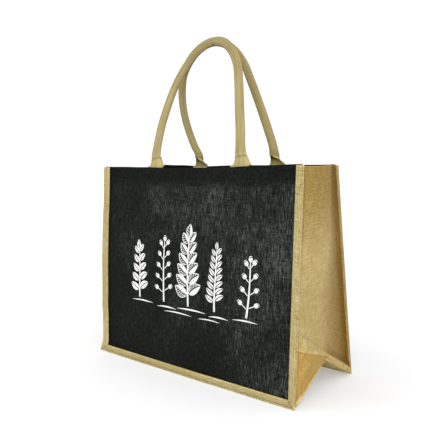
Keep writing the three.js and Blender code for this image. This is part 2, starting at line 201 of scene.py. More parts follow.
# Adds nodes to a material and joins them by output or constant
class NodeBench:
    def __init__(self, name):
        self.material = bpy.data.materials.new(name)
        self.material.use_nodes = True
        self.tree = self.material.node_tree
        self.shader = self.tree.nodes["Principled BSDF"]

    def plug(self, socket, value):
        if isinstance(value, bpy.types.NodeSocket):
            self.tree.links.new(value, socket)
        else:
            socket.default_value = value

    def math(self, operation, a, b=0.0):
        node = self.tree.nodes.new("ShaderNodeMath")
        node.operation = operation
        for socket, value in zip(node.inputs, (a, b)):
            self.plug(socket, value)
        return node.outputs[0]

    def blend(self, factor, a, b):
        node = self.tree.nodes.new("ShaderNodeMix")
        for socket, value in zip((node.inputs[0], node.inputs[2], node.inputs[3]), (factor, a, b)):
            self.plug(socket, value)
        return node.outputs[0]

    def colour(self, factor, a, b, way="MIX"):
        node = self.tree.nodes.new("ShaderNodeMix")
        node.data_type = "RGBA"
        node.blend_type = way
        for socket, value in zip((node.inputs[0], node.inputs[6], node.inputs[7]), (factor, a, b)):
            self.plug(socket, value)
        return node.outputs[2]

    def spread(self, value, low, high, outLow=0.0, outHigh=1.0):
        node = self.tree.nodes.new("ShaderNodeMapRange")
        for socket, number in zip(node.inputs, (value, low, high, outLow, outHigh)):
            self.plug(socket, number)
        return node.outputs[0]

    def vector(self, x, y, z=0.0):
        node = self.tree.nodes.new("ShaderNodeCombineXYZ")
        for socket, value in zip(node.inputs, (x, y, z)):
            self.plug(socket, value)
        return node.outputs[0]

    def noise(self, place, scale, detail=2.0, rough=0.5):
        node = self.tree.nodes.new("ShaderNodeTexNoise")
        self.plug(node.inputs["Vector"], place)
        node.inputs["Scale"].default_value = scale
        node.inputs["Detail"].default_value = detail
        node.inputs["Roughness"].default_value = rough
        return node.outputs["Fac"]

    def onMap(self, name):
        # Two lengths on the cloth, in metres, from one of the piece's own maps
        node = self.tree.nodes.new("ShaderNodeUVMap")
        node.uv_map = name
        split = self.tree.nodes.new("ShaderNodeSeparateXYZ")
        self.plug(split.inputs[0], node.outputs[0])
        x = self.math("MULTIPLY", split.outputs[0], mapMetres)
        y = self.math("MULTIPLY", split.outputs[1], mapMetres)
        return x, y

    def cell(self, x, y, wide, long, seed):
        # A place in a noise whose spots are so wide and long
        return self.vector(self.math("DIVIDE", x, wide), self.math("DIVIDE", y, long), seed)

    def line(self, length, at, reach, most=1.0):
        # A soft line where the length is at, as wide as reach to each side
        return self.spread(self.math("ABSOLUTE", self.math("SUBTRACT", length, at)), 0.0, reach, most, 0.0)

    def both(self, *shares):
        product = shares[0]
        for share in shares[1:]:
            product = self.math("MULTIPLY", product, share)
        return product

    def bump(self, height, distance):
        node = self.tree.nodes.new("ShaderNodeBump")
        node.inputs["Distance"].default_value = distance
        self.plug(node.inputs["Height"], height)
        self.plug(self.shader.inputs["Normal"], node.outputs[0])

    def surface(self, shade, rough, gloss):
        self.plug(self.shader.inputs["Base Color"], shade)
        self.shader.inputs["Roughness"].default_value = rough
        self.shader.inputs["Specular IOR Level"].default_value = gloss


weave = {
    "wanderScale": 45,      # of the noise that bends the threads
    "acrossThread": 0.6,    # roundness of a thread, lower is flatter
    "alongThread": 0.3,
}


# A plain weave: where the product of the two thread waves is above zero the warp lies on top
def weaveNodes(bench, pitch, wander):
    x, y = bench.onMap("cloth")
    scale = weave["wanderScale"]
    flat = bench.vector(x, y)
    x = bench.math("ADD", x, bench.math("MULTIPLY", bench.noise(flat, scale), wander))
    y = bench.math("ADD", y, bench.math("MULTIPLY", bench.noise(bench.vector(y, x), scale), wander))
    waveX = bench.math("SINE", bench.math("MULTIPLY", x, math.pi / pitch))
    waveY = bench.math("SINE", bench.math("MULTIPLY", y, math.pi / pitch))
    warpOnTop = bench.math("GREATER_THAN", bench.math("MULTIPLY", waveX, waveY), 0.0)
    sizeX = bench.math("ABSOLUTE", waveX)
    sizeY = bench.math("ABSOLUTE", waveY)
    own, other = weave["acrossThread"], weave["alongThread"]
    warp = bench.both(bench.math("POWER", sizeX, own), bench.math("POWER", sizeY, other))
    weft = bench.both(bench.math("POWER", sizeX, other), bench.math("POWER", sizeY, own))
    height = bench.blend(warpOnTop, weft, warp)
    return x, y, warpOnTop, height


clothLooks = {
    "dyedJute": {
        "pitch": 0.0019,
        "wander": 0.0006,
        "dark": (0.0045, 0.0052, 0.0046, 1),
        "base": (0.0120, 0.0135, 0.0118, 1),
        "light": (0.090, 0.098, 0.088, 1),
        "warpPower": 1.0,
        "weftPower": 0.8,
        "slubLength": 0.014,
        "slubRange": (0.36, 0.80),  # of the noise, from a thread's own tone to the palest
        "streak": (0.0021, 0.026, 0.50),    # width and length of groups of worn threads, and their part
        "crossing": 0.17,       # part of the groups that run across
        "streakRange": (0.36, 0.70),
        "patch": (0.36, 0.66, 0.55, 1.22),  # broad patches: part of the noise, and their tones
        "fade": (0.02, 0.24, 0.52, 1.0),    # darker towards the bottom
        "fadeAcross": (-0.17, -0.03, 0.66, 1.12),
        "wornEdge": (0.06, 0.15, 1.10),     # but worn all the way down beside the right edge
        "hem": (0.308, 0.321, 1.0, 0.42),   # the hem is less worn
        "turnedIn": (0.3405, 0.343, 1.0, 0.30),     # painted shade: its inner layer, inside the bag's mouth, is darkened to a deep black
        "grain": (0.0013, 0.0066, 0.42, 1.62),  # size and tones of single threads that show
        "rough": 0.92,
        "gloss": 0.06,
        "bump": 0.0005,
        "pit": (0.15, 0.75, 0.45, 1.0),     # darker between the threads
    },
    "naturalJute": {
        "pitch": 0.0019,
        "wander": 0.0006,
        "dark": (0.245, 0.168, 0.050, 1),
        "base": (0.40, 0.298, 0.111, 1),
        "light": (0.62, 0.505, 0.270, 1),
        "warpPower": 0.8,
        "weftPower": 0.8,
        "slubLength": 0.010,
        "slubRange": (0.30, 0.76),
        "streak": (0.0021, 0.022, 0.30),
        "crossing": 0.30,
        "streakRange": (0.37, 0.66),
        "patch": (0.36, 0.66, 0.75, 1.2),
        "fade": (0.0, 0.1, 1.0, 1.0),       # undyed cloth doesn't fade
        "fadeAcross": (0.0, 0.1, 1.0, 1.0),
        "wornEdge": (0.0, 0.1, 1.0),
        "hem": (0.523, 0.528, 1.0, 1.0),
        # painted shade: the turned-in layer of the hem, inside the bag's mouth, is a little darker
        "turnedIn": (0.552, 0.556, 1.0, 0.9),
        "grain": (0.0014, 0.0027, 0.85, 1.12),
        "rough": 0.92,
        "gloss": 0.10,
        "bump": 0.00045,
        "pit": (0.15, 0.75, 0.80, 1.0),
    },
}

# How the side cloth's tone changes at its folds: painted shade in the folds and creases, painted
# highlights where folds, corners and edges stand out, painted light on the laps and a dark mitre joint.
# Each tint is multiplied into the cloth's colour, and each line is given by its place, its reach to
# both sides and its strength, in metres.
foldLook = {
    "backFoldShade": (0.36, 0.23, 0.04, 1),      # painted shade, browner, where the side folds in before its back edge
    "backReach": (0.070, 0.176),            # from and to, behind the front edge
    "backHeight": (0.32, 0.10, 0.66, 1.0),  # and less towards the top
    # painted shade: the side is darker towards its top
    "top": (0.68, 0.60, 0.42, 1),
    "topReach": (0.205, 0.305),             # above the base's edge
    "underFoldShade": (0.98, 0.83, 0.60, 1),     # painted shade, warmer, on the triangle under the long fold
    # painted shade along the creases and beside the pinched corners
    "crease": (0.60, 0.52, 0.40, 1),
    "pressed": (1.18, 1.15, 1.10, 1),       # painted highlight where a fold or an edge stands out
    # painted highlight on the rounded pinched corners
    "corner": (1.24, 1.26, 1.38, 1),
    # painted highlight along the base's edge, where its fold catches the light
    "baseEdgeHighlight": (1.70, 1.92, 2.60, 1),
    "baseEdgeReach": (0.0090, 0.0060),
    # painted highlight along the side's rim
    "rimEdgeHighlight": (1.45, 1.48, 1.50, 1),
    # painted light: the laps, which face the light, are tinted greyer than the shaded side
    "lap": (0.93, 1.00, 1.12, 1),
    "mitre": (0.25, 0.21, 0.16, 1),
    "lapStart": (-0.0004, 0.0008),          # outside the corner's line
    "withinCorners": (-0.0050, -0.0080),
    "frontHalf": (0.108, 0.088),            # behind the front edge
    "backHalf": (0.088, 0.108),
    "longFoldLine": (-0.0006, 0.0014, 0.6),
    "longFoldHighlight": (0.0024, 0.0034),
    "upperFoldLine": (0.0008, 0.0022, 0.35),
    "upperFoldBackLine": (0.0040, 0.0100, 0.6),
    "cornerHighlightLine": (-0.0020, 0.0036),
    "besideCornerShadeLine": (-0.0078, 0.0030, 0.55),
    "lapEdgeLine": (0.5004, 0.0014),        # on the laps the length is from their free edge, plus 0.5
    "mitreLine": (0.0, 0.0012),
}


# Each thread is paler and thicker in places of its own
def slubNoise(bench, beside, along, look, seed):
    thread = bench.math("FLOOR", bench.math("DIVIDE", beside, look["pitch"]))
    apart = bench.math("MULTIPLY", thread, 3.37)        # far enough for the noise to differ
    place = bench.vector(apart, bench.math("DIVIDE", along, look["slubLength"]), seed)
    return bench.spread(bench.noise(place, 1.0, 2), *look["slubRange"])


# Groups of threads that are worn paler together
def streakNoise(bench, beside, along, look, seed):
    wide, long = look["streak"][:2]
    place = bench.cell(beside, along, wide, long, seed)
    return bench.spread(bench.noise(place, 1.0, 3, 0.65), *look["streakRange"])


def foldTones(bench, shade, x, y, look):
    toLongFold, toUpperFold = bench.onMap("creases")
    above = bench.math("SUBTRACT", bench.math("ABSOLUTE", y), halfBag * mm)
    back = bench.math("ADD", x, halfStrip * mm)
    outside = bench.math("SUBTRACT", bench.math("ABSOLUTE", x), halfStrip * mm)
    onLap = bench.spread(outside, *look["lapStart"])
    onCloth = bench.math("SUBTRACT", 1.0, onLap)
    onSide = bench.both(onCloth, bench.spread(above, 0.0, 0.001))
    withinCorners = bench.spread(outside, *look["withinCorners"])
    inFront = bench.spread(back, *look["frontHalf"])
    frontHalf = bench.both(onSide, inFront)
    backHalf = bench.both(onSide, bench.spread(back, *look["backHalf"]))
    aboveFolds = bench.spread(toUpperFold, -0.001, 0.002)
    # Painted shade in the fold before the back edge, less towards the top
    backFoldShadeShare = bench.both(onSide, bench.spread(withinCorners, 0.0, 1.0, 0.5, 1.0), aboveFolds)
    backFoldShadeShare = bench.both(backFoldShadeShare, bench.spread(back, *look["backReach"]))
    backFoldShadeShare = bench.both(backFoldShadeShare, bench.spread(above, *look["backHeight"]))
    baseEdgeHighlight = bench.spread(bench.math("ABSOLUTE", above), *look["baseEdgeReach"])
    # Painted shade: the back fold, the top, the triangle under the long fold and the creases. Painted
    # highlights: folds and lap edges that stand out, the corners, the base's edge and the rim. Painted
    # light: the laps. The mitre is a dark joint.
    tints = [
        (backFoldShadeShare, "backFoldShade"),
        (bench.both(onSide, withinCorners, bench.spread(above, *look["topReach"])), "top"),
        (bench.both(frontHalf, bench.spread(toLongFold, 0.0004, -0.0004)), "underFoldShade"),
        (bench.both(frontHalf, bench.line(toLongFold, *look["longFoldLine"])), "crease"),
        (bench.both(onSide, bench.line(toUpperFold, *look["upperFoldLine"])), "crease"),
        (bench.both(backHalf, bench.line(toUpperFold, *look["upperFoldBackLine"])), "crease"),
        (bench.both(frontHalf, bench.line(toLongFold, *look["longFoldHighlight"])), "pressed"),
        (bench.both(backHalf, bench.spread(toUpperFold, 0.0, -0.005)), "pressed"),
        (bench.both(onCloth, baseEdgeHighlight, inFront), "baseEdgeHighlight"),
        (bench.both(onCloth, bench.line(above, bag["height"] * mm, 0.0035)), "rimEdgeHighlight"),
        (onLap, "lap"),
        (bench.line(outside, *look["cornerHighlightLine"]), "corner"),
        (bench.line(outside, *look["besideCornerShadeLine"]), "crease"),
        (bench.line(toLongFold, *look["lapEdgeLine"]), "pressed"),
        (bench.both(onLap, bench.line(above, *look["mitreLine"])), "mitre"),
    ]
    for share, tint in tints:
        shade = bench.colour(share, shade, look[tint], "MULTIPLY")
    return shade


# What both cloths share. A cloth's tone runs from 0, dark, through baseTone to 1, light.
jute = {
    "baseTone": 0.3,
    "patchScale": 11,
    "patchAlong": 0.6,      # lower for patches that are longer up the cloth
    "grainRange": (0.34, 0.66),     # of the noise
    "raised": 0.5,          # how much its paler threads stand out
}


def juteMaterial(name, look, folds=None):
    bench = NodeBench(name)
    x, y, warpOnTop, height = weaveNodes(bench, look["pitch"], look["wander"])
    warpTone = bench.math("MULTIPLY", slubNoise(bench, x, y, look, 0.0), look["warpPower"])
    weftTone = bench.math("MULTIPLY", slubNoise(bench, y, x, look, 40.0), look["weftPower"])
    tone = bench.blend(warpOnTop, weftTone, warpTone)
    along = bench.both(streakNoise(bench, x, y, look, 6.0), look["streak"][2])
    crossing = bench.both(streakNoise(bench, y, x, look, 9.0), look["crossing"])
    tone = bench.both(tone, 1 - look["streak"][2] - look["crossing"])
    tone = bench.math("ADD", tone, bench.math("ADD", along, crossing))
    wornFrom, wornTo, worn = look["wornEdge"]
    fade = bench.blend(bench.spread(x, wornFrom, wornTo), bench.spread(y, *look["fade"]), worn)
    tone = bench.both(tone, fade, bench.spread(x, *look["fadeAcross"]))
    place = bench.vector(x, bench.math("MULTIPLY", y, jute["patchAlong"]), 2.0)
    patch = bench.noise(place, jute["patchScale"], 3, 0.6)
    tone = bench.both(tone, bench.spread(patch, *look["patch"]))
    fromMiddleLine = bench.math("ABSOLUTE", y)
    tone = bench.both(tone, bench.spread(fromMiddleLine, *look["hem"]))
    low = bench.colour(bench.spread(tone, 0.0, jute["baseTone"]), look["dark"], look["base"])
    shade = bench.colour(bench.spread(tone, jute["baseTone"], 1.0), low, look["light"])
    # Painted shade: the hem's turned-in layer, inside the bag's mouth, is darkened
    turnedIn = bench.spread(fromMiddleLine, *look["turnedIn"])
    grainWide, grainLong, grainDark, grainPale = look["grain"]
    grain = bench.noise(bench.cell(x, y, grainWide, grainLong, 12.0), 1.0, 1)
    grain = bench.spread(grain, *jute["grainRange"], grainDark, grainPale)
    pit = bench.both(bench.spread(height, *look["pit"]), turnedIn, grain)
    shade = bench.colour(1.0, shade, bench.vector(pit, pit, pit), "MULTIPLY")
    if folds:
        shade = foldTones(bench, shade, x, y, folds)
    bench.surface(shade, look["rough"], look["gloss"])
    bench.bump(bench.math("ADD", height, bench.math("MULTIPLY", tone, jute["raised"])), look["bump"])
    return bench.material


webLook = {
    "pitch": 0.0009,
    "dark": (0.240, 0.187, 0.076, 1),
    "base": (0.330, 0.267, 0.118, 1),
    "light": (0.41, 0.350, 0.184, 1),
    "wander": 0.0002,
    "streaks": (260, 9),    # spots to a metre, across the webbing and along it
    "streakPart": 0.7,
    "patchScale": 22,
    "tones": (0.3, 0.5, 0.72),      # of the noise, for dark, base and light
    "pit": (0.1, 0.7, 0.78, 1.0),
    # painted shade along the crease, and a painted highlight just above it
    "crease": (0.68, 0.61, 0.50, 1),
    "pressed": (1.15, 1.14, 1.12, 1),
    "flatEndLight": (-0.003, -0.001, 1.17, 1.0),     # painted light: the flat end, which faces the light more, is paler than the tube
    "creaseLine": (-0.0008, 0.0020, 0.8),
    "pressedLine": (0.0028, 0.0030, 0.8),
    "inside": (-0.009, -0.001, 1.25, 0.32),     # painted shade: the hollow inside is dark towards the crease
    # painted shade, browner, in the hollow inside
    "hollow": (1.0, 0.82, 0.55, 1),
    "hollowReach": (-0.010, -0.003),
    "seamSideLight": (0.015, 0.110, 1.70, 1.10),     # painted light: the side with the seam is paler, most above the crease
    "seamSideFrom": (0.006, 0.010),             # from the middle of the webbing
    "topDarker": (0.110, 0.200, 1.0, 0.83),          # and the top is darker
    "rough": 0.88,
    "gloss": 0.15,
    "bump": 0.0002,
}


def webMaterial(name, look, inside=False):
    bench = NodeBench(name)
    aboveCrease, beside = bench.onMap("creases")
    x, y, _, height = weaveNodes(bench, look["pitch"], look["wander"])
    across, along = look["streaks"]
    place = bench.vector(bench.math("MULTIPLY", x, across), bench.math("MULTIPLY", y, along))
    streak = bench.noise(place, 1.0, 3)
    patch = bench.noise(bench.vector(x, y, 3.0), look["patchScale"], 3)
    tone = bench.blend(look["streakPart"], patch, streak)
    darkTone, middleTone, lightTone = look["tones"]
    low = bench.colour(bench.spread(tone, darkTone, middleTone), look["dark"], look["base"])
    shade = bench.colour(bench.spread(tone, middleTone, lightTone), low, look["light"])
    pit = bench.spread(height, *look["pit"])
    # The inner side gets painted shade in its hollow. The outer side gets painted light on the seam side and
    # the flat end, and is darker towards the top.
    if inside:
        pit = bench.both(pit, bench.spread(aboveCrease, *look["inside"]))
    else:
        onSeamSide = bench.spread(bench.math("ABSOLUTE", beside), *look["seamSideFrom"])
        onSeamSide = bench.both(onSeamSide, bench.spread(aboveCrease, 0.0, 0.004))
        paler = bench.blend(onSeamSide, 1.0, bench.spread(aboveCrease, *look["seamSideLight"]))
        topDarker = bench.spread(aboveCrease, *look["topDarker"])
        pit = bench.both(pit, paler, topDarker, bench.spread(aboveCrease, *look["flatEndLight"]))
    shade = bench.colour(1.0, shade, bench.vector(pit, pit, pit), "MULTIPLY")
    # Painted shade, browner, in the hollow
    if inside:
        hollow = bench.spread(aboveCrease, *look["hollowReach"])
        shade = bench.colour(hollow, shade, look["hollow"], "MULTIPLY")
    # Painted shade along the crease and a painted highlight just above it
    shade = bench.colour(bench.line(aboveCrease, *look["creaseLine"]), shade, look["crease"], "MULTIPLY")
    shade = bench.colour(bench.line(aboveCrease, *look["pressedLine"]), shade, look["pressed"], "MULTIPLY")
    bench.surface(shade, look["rough"], look["gloss"])
    bench.bump(bench.math("ADD", height, bench.math("MULTIPLY", streak, 0.8)), look["bump"])
    return bench.material


threadLook = {
    "natural": (0.44, 0.34, 0.15, 1),
    "dark": (0.022, 0.024, 0.021, 1),
    "twistScale": 900,
    "twistRange": (0.35, 0.6),
    "twistDark": 0.6,
    "rough": 0.8,
    "gloss": 0.1,
    "bump": 0.0001,
}


def threadMaterial(name, tint, look):
    bench = NodeBench(name)
    coordinates = bench.tree.nodes.new("ShaderNodeTexCoord").outputs["Object"]
    twist = bench.noise(coordinates, look["twistScale"], 2)
    darker = tuple(look["twistDark"] * channel for channel in tint[:3]) + (1,)
    shade = bench.colour(bench.spread(twist, *look["twistRange"]), darker, tint)
    bench.surface(shade, look["rough"], look["gloss"])
    bench.bump(twist, look["bump"])
    return bench.material


inkLook = {
    "ink": (0.78, 0.78, 0.76, 1),
    "worn": (0.30, 0.30, 0.28, 1),
    "missingScale": 160,
    "threadPart": 0.6,      # how much the weave and the noise decide where ink is missing
    "missingPart": 0.8,
    "coverRange": (0.38, 0.62),
    "rough": 0.8,
    "gloss": 0.1,
    "bump": 0.0003,
}


def inkMaterial(name, look):
    bench = NodeBench(name)
    cloth = clothLooks["dyedJute"]
    x, y, _, height = weaveNodes(bench, cloth["pitch"], cloth["wander"])
    missing = bench.noise(bench.vector(x, y, 4.0), look["missingScale"], 3, 0.7)
    cover = bench.math("MULTIPLY", height, look["threadPart"])
    cover = bench.math("ADD", cover, bench.math("MULTIPLY", missing, look["missingPart"]))
    shade = bench.colour(bench.spread(cover, *look["coverRange"]), look["worn"], look["ink"])
    bench.surface(shade, look["rough"], look["gloss"])
    bench.bump(height, look["bump"])
    return bench.material


def makeObject(name, form, material):
    mesh = bpy.data.meshes.new(name)
    form.normal_update()
    form.to_mesh(mesh)
    form.free()
    piece = bpy.data.objects.new(name, mesh)
    bpy.context.scene.collection.objects.link(piece)
    mesh.materials.append(material)
    for face in mesh.polygons:
        face.use_smooth = True
    return piece


def thicken(piece, thickness):
    modifier = piece.modifiers.new("thickness", "SOLIDIFY")
    modifier.thickness = thickness
    modifier.offset = 0
    modifier.use_quality_normals = True
    return piece


# A grid of cloth: for each row and column, shape gives the place and a pair of lengths for each map,
# and keep says which corners stay
def clothGrid(rows, columns, shape, keep=None, maps=("cloth",)):
    form = bmesh.new()
    bmesh.ops.create_grid(form, x_segments=len(columns) - 1, y_segments=len(rows) - 1, size=1)
    layers = [form.loops.layers.uv.new(name) for name in maps]
    flat = {}
    unused = []
    for vertex in form.verts:
        column = round((vertex.co.x + 1) / 2 * (len(columns) - 1))
        row = round((vertex.co.y + 1) / 2 * (len(rows) - 1))
        if keep and not keep(rows[row], columns[column]):
            unused.append(vertex)
        place, *flat[vertex] = shape(rows[row], columns[column])
        vertex.co = toModel(place)
    for face in form.faces:
        for loop in face.loops:
            for layer, lengths in zip(layers, flat[loop.vert]):
                loop[layer].uv = [length * mm / mapMetres for length in lengths]
    bmesh.ops.delete(form, geom=unused, context="VERTS")
    return form


def steps(start, end, count):
    return [mix(start, end, k / count) for k in range(count)]


# Front and back panel, each with its hem turned in over the rim
panelLook = {
    "sideInset": 3.5,
    "bottomInset": 3.2,
    "columns": 70,
    "rows": 56,
    "hemLayer": 1.9,        # between the middles of the cloth and its turned-in layer
    "hemWaver": 0.25,
}


def panelRows(look):
    rim = bag["height"]
    rows = [("plain", run) for run in steps(look["bottomInset"], rim - bag["rimHem"], look["rows"])]
    rows += [("plain", run) for run in steps(rim - bag["rimHem"], rim - 1, 6)]
    rows += [("fold", angle) for angle in (-60, -30, 0, 30, 60)]
    rows += [("hem", run) for run in steps(rim - 1, rim - bag["rimHem"], 6)]
    rows.append(("hem", rim - bag["rimHem"]))
    return rows


def makePanel(name, side, look, material):
    face, inward = faces[side]
    edge = 1 - look["sideInset"] / halfBag
    radius = look["hemLayer"] / 2
    rim = bag["height"]

    def shape(row, across):
        kind, value = row
        if kind == "plain":
            place = face(across, value)
            place.y += inward * panelInset
            return place, (across * halfBag, value)
        if kind == "fold":
            angle = math.radians(value)
            place = face(across, rim - radius)
            place.y += inward * (panelInset + radius + radius * math.sin(angle))
            place.z += radius * math.cos(angle)
            return place, (across * halfBag, rim + radius * (angle + math.pi / 2))
        place = face(across, value)
        waver = look["hemWaver"] * noise.noise(Vector((across * 14, value / 20, 1.7)))
        place.y += inward * (panelInset + look["hemLayer"] + waver * clamp01((rim - value) / 10))
        return place, (across * halfBag, 2 * rim - value + 2)

    columns = steps(-edge, edge, look["columns"]) + [edge]
    piece = makeObject(name, clothGrid(panelRows(look), columns, shape), material)
    return thicken(piece, bag["cloth"] * mm)


# The long strip: both sides and the base, with its edges turned under and lapped over the panels
stripLook = {
    "leftSag": 5.5,         # of the left side's rim
    "sagRange": (0.6, 0.88),        # deepest between these parts of the width
    "sideFullness": 13,     # how far a side bulges out
    "sideWave": 7.5,        # more in front and less behind
    "sideFillHeight": 200,
    "sideNotch": 4.2,       # the side's rim is lower than the front's
    "backDip": 5,           # one more hollow in front of the back edge
    "backDipAt": 0.90,
    "backDipSize": 0.06,
    "foldReach": 9,         # how far the side folds out above the raised base
    "foldFade": 0.45,       # share of it that is left behind
    "foldFadeRange": (0.2, 0.7),
    "edgeRise": 0.125,      # part of the width in which folds and ripples begin
    "foldLow": 82,          # height of that fold's two creases at the front
    "foldHigh": 108,
    "foldLowBack": 5,       # and above the base's edge in the back half
    "foldHighBack": 10,
    "hemLayer": 1.9,
    "weltDepth": 2.4,       # how far the cloth steps in behind the pinched corner
    "weltReach": 0.12,      # and the part of the width in which it comes back out
    "footWidth": 2.4,
    "cornerReach": 9,       # width of the pinched corner on the flat cloth
    "pointShare": 0.25,     # of the pinched corner that is left at the bottom point
    "pointLength": 28,
    "pointRise": 15,
    "widthColumns": 40,
    "baseRows": 84,
    "ripple": 1.6,
    "rippleLength": 70,
    "rippleRise": 40,
}

# The turned-under edge, as (length from the lap's free edge, depth), then the places of two columns on
# the lap, and the pinched corner, as (inset from the corner's line, depth)
lapEdge = [(6.5, 0.0), (3.0, 0.0), (0.9, 0.0), (0.15, -0.35), (0.0, -0.85), (0.2, -1.4), (0.9, -1.7),
           (2.6, -1.7), (4.8, -1.6), (7.0, -1.15), (9.0, -0.4)]
lapMiddle = [0.3, 0.18]
corner = [(1.6, -0.1), (0.7, 0.0), (0.18, 0.3), (0.0, 0.9), (0.0, 2.0), (0.1, 2.9), (0.5, 3.4),
          (1.3, 3.75), (2.0, 4.1), (2.4, 4.9)]


def stripColumns(look):
    near = [("edge", k) for k in range(len(lapEdge))]
    near += [("lap", share) for share in lapMiddle]
    near += [("corner", k) for k in range(len(corner))]
    middle = [("width", step) for step in [0.03] + steps(0.05, 0.95, look["widthColumns"]) + [0.95, 0.97]]
    columns = [("front",) + column for column in near]
    columns += [("between",) + column for column in middle]
    columns += [("back",) + column for column in reversed(near)]
    return columns


def insetAndDepth(column, lap):
    kind, value = column[1:]
    if kind == "edge":
        inset, depth = lapEdge[value]
        return lap - inset, depth
    if kind == "lap":
        return lap * value, -0.05
    return corner[value]


# Where a column lies across the flat strip
def fromMiddle(column, inset, depth):
    if column[0] == "between":
        return (column[2] - 0.5) / 0.47 * (halfStrip - stripLook["cornerReach"])
    beside = halfStrip + inset
    if column[1] == "corner":
        beside = halfStrip + inset - max(0, depth) if column[2] < 3 else halfStrip - inset - depth
    return -beside if column[0] == "front" else beside


def foldHeights(look, step):
    edge = bag["ridgeHeight"] * (1 - abs(2 * step - 1))
    toMiddle = clamp01(2 * step)
    if step < 0.5:
        low = mix(look["foldLow"], bag["ridgeHeight"] + look["foldLowBack"], toMiddle)
        high = mix(look["foldHigh"], bag["ridgeHeight"] + look["foldHighBack"], toMiddle)
        return edge, low, high
    return edge, edge + look["foldLowBack"], edge + look["foldHighBack"]


def sideHeight(look, step, level, rimHeight):
    edge, low, high = foldHeights(look, step)
    if level <= 1:
        return mix(edge, low, level)
    if level <= 2:
        return mix(low, high, level - 1)
    return mix(high, rimHeight, level - 2)


def stripRows(look):
    side = [0.04, 0.12] + steps(0.2, 0.9, 8) + [0.9, 0.97, 1.03, 1.1, 1.35, 1.65, 1.9, 1.97, 2.01]
    side += steps(2.03, 2.98, 44) + [2.98]
    rim = [("rim", value) for value in (24, 20, 15, 10, 5, 1)]
    fold = [("fold", value) for value in (-60, -30, 0, 30, 60)]
    hem = [("hem", value) for value in (1, 5, 10, 15, 20, 25)]
    half = [("level", value) for value in side] + rim + fold + hem
    right = [(1,) + row for row in [("level", 0.0)] + half]
    left = [(-1,) + row for row in reversed([("level", 0.0)] + half)]
    base = [(0, "across", mix(-1, 1, k / look["baseRows"])) for k in range(1, look["baseRows"])]
    return left + base + right


def ridgeAt(across):
    spread = backFace(across, 0).y - frontFace(across, 0).y
    return math.sqrt(max(0, halfStrip ** 2 - (spread / 2) ** 2))


def edgePoint(column, across, runAtCrease, onSide):
    face, inward = faces[column[0]]
    beside = lapWidth(across, True)
    below = lapWidth(across, False)
    inset, depth = insetAndDepth(column, beside if onSide else below)
    fromCorner = runAtCrease if onSide else halfBag * (1 - abs(across))
    if column[1] == "corner":
        depth *= cornerShare(fromCorner)
    share = inset / (beside if onSide else below)
    if onSide:
        sideways = 1 - inset / halfBag
        run = mix(share * below, bag["height"], runAtCrease / bag["height"])
    else:
        left = share * bag["lapLeft"] / halfBag - 1
        right = 1 - share * bag["lapRight"] / halfBag
        sideways = mix(left, right, (across + 1) / 2) / across if across else 1
        run = inset
    place = face(across * sideways, run)
    place.y += inward * depth
    return place, fromMiddle(column, inset, depth)


# Beside a pinched corner the cloth steps in, and comes back out within a few centimetres
def weltStep(look, step, fromCorner):
    return look["weltDepth"] * (1 - ease(min(step, 1 - step) / look["weltReach"])) * cornerShare(fromCorner)


# The pinched corners end in a point at the bottom
def cornerShare(fromCorner):
    return mix(stripLook["pointShare"], 1, ease(fromCorner / stripLook["pointLength"]))


# How far a column is from the strip's front edge to its back edge, from 0 to 1
def stepAcross(column):
    if column[0] == "between":
        return column[2]
    return 0 if column[0] == "front" else 1


def basePoint(look, across, column):
    front = frontFace(across, 0)
    back = backFace(across, 0)
    if column[0] != "between":
        return edgePoint(column, across, 0, False)
    step = column[2]
    fromEnd = halfBag * (1 - abs(across))
    foot = look["footWidth"] * cornerShare(fromEnd)
    welt = weltStep(look, step, fromEnd)
    y = mix(front.y + foot, back.y - foot, step)
    height = ridgeAt(across) * (1 - abs(2 * step - 1)) + welt
    x = across * halfBag - math.copysign(welt * (1 - ease(fromEnd / look["pointRise"])), across)
    return Vector((x, y, height)), fromMiddle(column, 0, 0)


# How far a side's rim lies under the line between the panels' rims
def rimSag(look, side, step):
    if side > 0:
        return look["sideNotch"] * (1 - step)
    deepFrom, deepTo = look["sagRange"]
    sag = look["leftSag"] * ease(step / deepFrom) * (1 - easeBetween(step, deepTo, 1))
    return look["sideNotch"] * (1 - step) + sag


